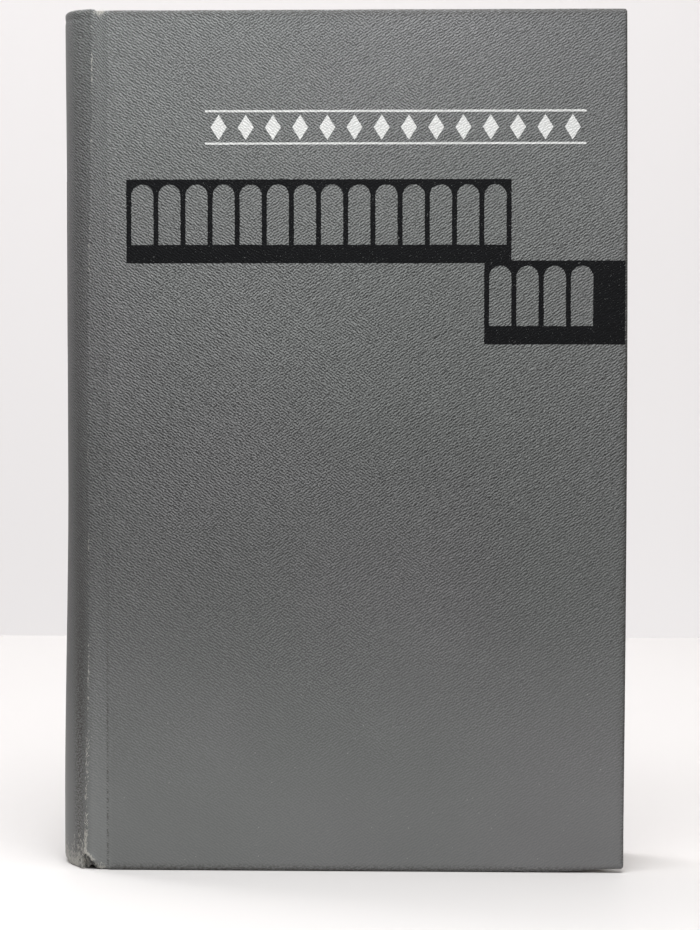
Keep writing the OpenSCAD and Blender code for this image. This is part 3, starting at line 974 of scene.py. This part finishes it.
def make_leaves():
    count = len(GATHERING_NODES)
    pitch = 2 * HALF_BLOCK / count
    leaf = pitch / (2 * SHEETS)
    for number, node in enumerate(GATHERING_NODES):
        low = -HALF_BLOCK + number * pitch
        build = ([], [], [])
        set_back, drop = 0.05 * MM * rng.normal(), 0.02 * MM * rng.normal()
        for k in range(SHEETS):
            trim = set_back + 0.03 * MM * rng.normal() - 0.03 * MM
            thick = leaf * (1 - SHEET_GAP * rng.uniform(0.5, 1.5))
            lower, upper = low + (k + 0.5) * leaf, low + pitch - (k + 0.5) * leaf
            tone = float(np.clip(rng.normal(0.5, 0.3), 0, 1))
            z_low = PAGE_LOW - drop + 0.012 * MM * rng.normal()
            z_high = PAGE_HIGH + drop + 0.012 * MM * rng.normal() - 0.02 * MM
            sheet_mesh(sheet_path(lower, upper, trim), thick, z_low, z_high, tone, build)
        vertices, faces, tones = build
        piece = add_object(f"leaves_{number + 1:02d}", vertices, faces, LEAF_PAPER)
        piece.data.polygons.foreach_set("use_smooth", [False] * len(faces))
        add_attribute(piece, "leaf", "FLOAT", tones)
        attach(piece, "text_block")
        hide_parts(node)


make_leaves()


# ---- Endpapers ----

ENDPAPER_T = 0.15 * MM
TURN_IN = 15 * MM
# How far the paper sinks where there is no turned-in cloth under it.
SUNK = 0.10 * MM


def endpaper_path(inner_y, x_end):
    """From the shoulder across the joint, and along the inside of the board."""
    shoulder_x, shoulder_y = leaf_point(0.4 * MM, HALF_BLOCK)
    on_board = EDGE_X + 1.2 * MM
    crossing = [
        (shoulder_x + 0.1 * MM, shoulder_y + 0.28 * MM),
        (RIDGE_X + 2.7 * MM, RIDGE_OUT_Y - 1.5 * MM),
        (EDGE_X - 0.4 * MM, inner_y + 0.12 * MM),
        (on_board, inner_y),
    ]
    flat = [(mix(on_board, x_end, smooth(0, 1, t / 30)), inner_y) for t in range(1, 31)]
    return [tuple(p) for p in curve_through(crossing, 6)] + flat


def endpaper_vertices(path, rows, side):
    vertices = []
    for lift in (0, ENDPAPER_T):
        for z in rows:
            for x, y in path:
                # Over the middle of the board the paper sinks by the thickness of the turned-in cloth.
                from_edges = min(z, HEIGHT - z, FORE_X - x)
                sunk = SUNK * smooth(TURN_IN - 0.5 * MM, TURN_IN + 0.7 * MM, from_edges)
                sunk *= smooth(EDGE_X + 0.5 * MM, EDGE_X + 2 * MM, x)
                wave = 0.015 * MM * wander(x, z, 6 + side, 0.012)
                vertices.append((x, side * (y + lift + (sunk if lift == 0 else 0) + wave), z))
    return vertices


def make_endpapers():
    """The outer leaf of each endpaper, across the joint and over the inside of the board."""
    low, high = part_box("front_pastedown")
    path = endpaper_path(-high.y, high.x)
    rows = [low.z + (high.z - low.z) * smooth(0, 1, t / 40) for t in range(41)]
    faces = slab_faces(len(rows), len(path))
    for side, body, cad in ((FRONT, "front_cover", "front"), (BACK, "back_cover", "back")):
        piece = add_object(f"{cad}_endpaper", endpaper_vertices(path, rows, side), faces, ENDPAPER)
        weld(piece)
        add_attribute(piece, "leaf", "FLOAT", [0.5] * len(piece.data.vertices))
        bend_at_joint(piece)
        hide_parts(f"{cad}_pastedown", f"{cad}_joint_paper")


make_endpapers()


# ---- Headbands ----

BEAD_R = 0.68 * MM
WRAP_PITCH = 0.55 * MM
BEAD_REACH = math.asin(HALF_BLOCK / BACK_R) * 0.99
BEAD_TURNS, BEAD_AROUND = 200, 14
BEAD_ANGLES = [-BEAD_REACH + 2 * BEAD_REACH * i / BEAD_TURNS for i in range(BEAD_TURNS + 1)]
# The band's tape in section: distance in front of the back of the block, and up from the leaves' ends.
TAPE = (
    (0.42 * MM, -12 * MM),
    (0.42 * MM, 0.5 * MM),
    (0.2 * MM, 0.75 * MM),
    (0.42 * MM, 0.95 * MM),
    (0.62 * MM, 0.5 * MM),
    (0.62 * MM, -12 * MM),
)


def bead_vertices(z, way):
    """A bead that is wrapped in thread, along the rounded back."""
    vertices = []
    length = 2 * BEAD_REACH * BACK_R
    for i, angle in enumerate(BEAD_ANGLES):
        for k in range(BEAD_AROUND):
            turn = 2 * math.pi * k / BEAD_AROUND
            wrap = (length * i / BEAD_TURNS / WRAP_PITCH + k / BEAD_AROUND) % 1
            r = BEAD_R * (0.90 + 0.13 * math.sin(math.pi * wrap))
            x, y = on_spine(BACK_R - 0.3 * MM + r * math.cos(turn), angle)
            vertices.append((x, y, z + way * (BEAD_R + 0.02 * MM + r * math.sin(turn))))
    return vertices


def tape_vertices(z, way):
    """The tape behind the bead, glued to the back of the block."""
    vertices = []
    for angle in BEAD_ANGLES:
        for ahead, up in TAPE:
            x, y = on_spine(BACK_R + ahead, angle)
            vertices.append((x, y, z + way * up))
    return vertices


def make_headbands():
    for name, node, z, way in (
        ("headband_bead_head", "headband_head", PAGE_HIGH, 1),
        ("headband_bead_tail", "headband_tail", PAGE_LOW, -1),
    ):
        bead = bead_vertices(z, way)
        faces = tube_faces(0, len(BEAD_ANGLES), BEAD_AROUND)
        faces += tube_faces(len(bead), len(BEAD_ANGLES), len(TAPE))
        piece = add_object(name, bead + tape_vertices(z, way), faces, THREAD)
        weld(piece)
        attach(piece, "text_block")
        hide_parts(node)


make_headbands()


# ---- CAD nodes that stay ----


def keep_nodes():
    """Gives the nodes whose shape is right their materials."""
    for node, material in (
        ("spine_lining", GAUZE),
        ("front_flyleaf", ENDPAPER),
        ("back_flyleaf", ENDPAPER),
    ):
        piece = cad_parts[node]
        for place in piece.material_slots:
            place.material = material


keep_nodes()


# ---- Loose fibres ----

FIBRE_STEPS = 6


def fibre(build, root, direction, length, r):
    """Adds one tapering, curling thread of three sides."""
    vertices, faces = build
    first = len(vertices)
    point, heading = Vector(root), Vector(direction).normalized()
    curl = Vector(rng.normal(size=3)) * 0.35
    for i in range(FIBRE_STEPS + 1):
        thin = r * (1 - 0.8 * i / FIBRE_STEPS)
        aside = heading.orthogonal().normalized()
        other = heading.cross(aside)
        for k in range(3):
            turn = 2 * math.pi * k / 3
            vertices.append(tuple(point + (aside * math.cos(turn) + other * math.sin(turn)) * thin))
        point = point + heading * (length / FIBRE_STEPS)
        # No thread goes through the table.
        point.z = max(point.z, 2 * r)
        heading = (heading + curl / FIBRE_STEPS * 2).normalized()
    faces += tube_faces(first, FIBRE_STEPS + 1, 3)


def on_surface(wear, s, z):
    """The worn outside of the case's front half at s along the girth, and its direction outwards."""
    i = min(range(len(GIRTH)), key=lambda k: abs(GIRTH[k] - s))
    x, y = wear.shape(i, z, SECTION[i][0])
    ahead_x, ahead_y = wear.shape(i + 1, z, SECTION[i + 1][0])
    out = Vector((-(ahead_y - y), -(ahead_x - x), 0)).normalized()
    return Vector((x, -y, z)), out


# Name, number of threads, where they start (in mm along the girth from the ridge, and up the book),
# which way they lean, and the longest in mm.
THREADS = (
    ("frayed_threads_head", 16, (1.2, 4.4), (HEIGHT - 0.5 * MM, HEIGHT - 0.1 * MM), 1, 0.9),
    ("frayed_threads_tail", 34, (-1.6, 3.6), (2.2 * MM, 4.6 * MM), -1, 1.5),
    ("worn_threads_spine", 60, (-7, -0.6), (1.0 * MM, 8.5 * MM), -1, 1.6),
    ("worn_threads_ridge", 70, (-0.7, 0.3), (8 * MM, 34 * MM), 1, 0.9),
)


def make_fibres():
    """Frayed threads at the ends of the front joint and over the worn tail of the spine."""
    wear = WearAndPaintedLight(FRONT)
    for name, count, along, up, lean, longest in THREADS:
        build = ([], [])
        for _ in range(count):
            s = rng.uniform(RIDGE_S + along[0] * MM, RIDGE_S + along[1] * MM)
            z = mix(*up, rng.uniform() ** 1.5)
            if name == "frayed_threads_tail":
                # These follow the lip over the dent, which falls towards the board.
                z = max(z - 2.6 * MM * smooth(RIDGE_S - 1.2 * MM, RIDGE_S + 2.8 * MM, s), 0.6 * MM)
            root, out = on_surface(wear, s, z)
            aside = Vector((-out.y, out.x, 0))
            direction = Vector((0, 0, lean)) + aside * rng.normal(0.35, 0.35) + out * rng.uniform(0, 0.25)
            length, r = rng.uniform(0.4, longest) * MM, rng.uniform(0.035, 0.075) * MM
            fibre(build, root + out * 0.02 * MM, direction, length, r)
        piece = add_object(name, build[0], build[1], FIBRE)
        if name.startswith("frayed"):
            bend_at_joint(piece)
        else:
            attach(piece, "text_block")


make_fibres()


# ---- Stage, light and camera ----

TABLE_FRONT_Y, TABLE_BACK_Y = -0.26, 0.53
TABLE_HALF_W = 1.6


def stage_material(name, colour, rough):
    shader = Shader(name, Specular_IOR_Level=0.25)
    place = shader.place()
    tone = shader.ramp(shader.noise(place, 3.0, 2.0), 0.3, 0.7, 0.995, 1.005)
    return shader.finish(shader.scaled(colour, tone), rough)


def plane(name, corners, material):
    piece = add_object(name, corners, [(0, 1, 2, 3)], material, False)
    return piece


def make_stage():
    w = TABLE_HALF_W
    plane(
        "table",
        [(-w, TABLE_FRONT_Y, 0), (w, TABLE_FRONT_Y, 0), (w, TABLE_BACK_Y, 0), (-w, TABLE_BACK_Y, 0)],
        stage_material("table_white", (0.65, 0.63, 0.622, 1), 0.55),
    )
    wall_y = TABLE_BACK_Y + 0.6
    plane(
        "backdrop",
        [(-4, wall_y, -0.8), (4, wall_y, -0.8), (4, wall_y, 3), (-4, wall_y, 3)],
        stage_material("backdrop_white", (0.76, 0.735, 0.735, 1), 0.8),
    )


def area_light(name, place, target, size, power, colour=(1, 1, 1)):
    data = bpy.data.lights.new(name, "AREA")
    data.shape = "RECTANGLE"
    data.size, data.size_y = size
    data.energy = power
    data.color = colour
    light = bpy.data.objects.new(name, data)
    light.location = place
    light.rotation_euler = (Vector(target) - Vector(place)).to_track_quat("-Z", "Y").to_euler()
    bpy.context.scene.collection.objects.link(light)


def make_light():
    world = bpy.data.worlds.new("studio")
    world.use_nodes = True
    tree = world.node_tree
    lighting = tree.nodes["Background"]
    lighting.inputs["Color"].default_value = (1.0, 0.985, 0.98, 1)
    lighting.inputs["Strength"].default_value = 0.12
    # What shows round the stage from other sides is pale, without lighting the book.
    seen = tree.nodes.new("ShaderNodeBackground")
    seen.inputs["Color"].default_value = (0.78, 0.765, 0.76, 1)
    either = tree.nodes.new("ShaderNodeMixShader")
    tree.links.new(tree.nodes.new("ShaderNodeLightPath").outputs["Is Camera Ray"], either.inputs[0])
    tree.links.new(lighting.outputs[0], either.inputs[1])
    tree.links.new(seen.outputs[0], either.inputs[2])
    tree.links.new(either.outputs[0], tree.nodes["World Output"].inputs["Surface"])
    bpy.context.scene.world = world
    area_light("overhead", (0.28, -0.42, 1.05), (0.0, -0.02, 0), (0.8, 0.8), 8.8)
    area_light("key", (-0.06, -0.15, 0.37), (-0.02, 0, 0.16), (0.3, 0.12), 0.97, (0.97, 0.99, 1))
    area_light("fill", (0.15, -1.1, 0.25), (0, 0, 0.1), (0.5, 0.5), 1.3)
    area_light("backdrop_wash", (-0.5, 0.45, 1.3), (-0.2, 1.1, 0.5), (2.0, 0.6), 22)
    area_light("backdrop_low", (0.1, 0.64, -0.4), (0, 1.13, 0.05), (2.4, 0.3), 6)


def make_camera():
    data = bpy.data.cameras.new("camera")
    data.sensor_width = 36
    data.lens = 116.71
    camera = bpy.data.objects.new("camera", data)
    camera.location = (0.0279, -0.7368, 0.1324)
    camera.rotation_euler = (math.radians(90 - 2.704), 0, math.radians(2.081))
    bpy.context.scene.collection.objects.link(camera)
    bpy.context.scene.camera = camera


make_stage()
make_light()
make_camera()
bpy.context.scene.view_settings.view_transform = "Standard"
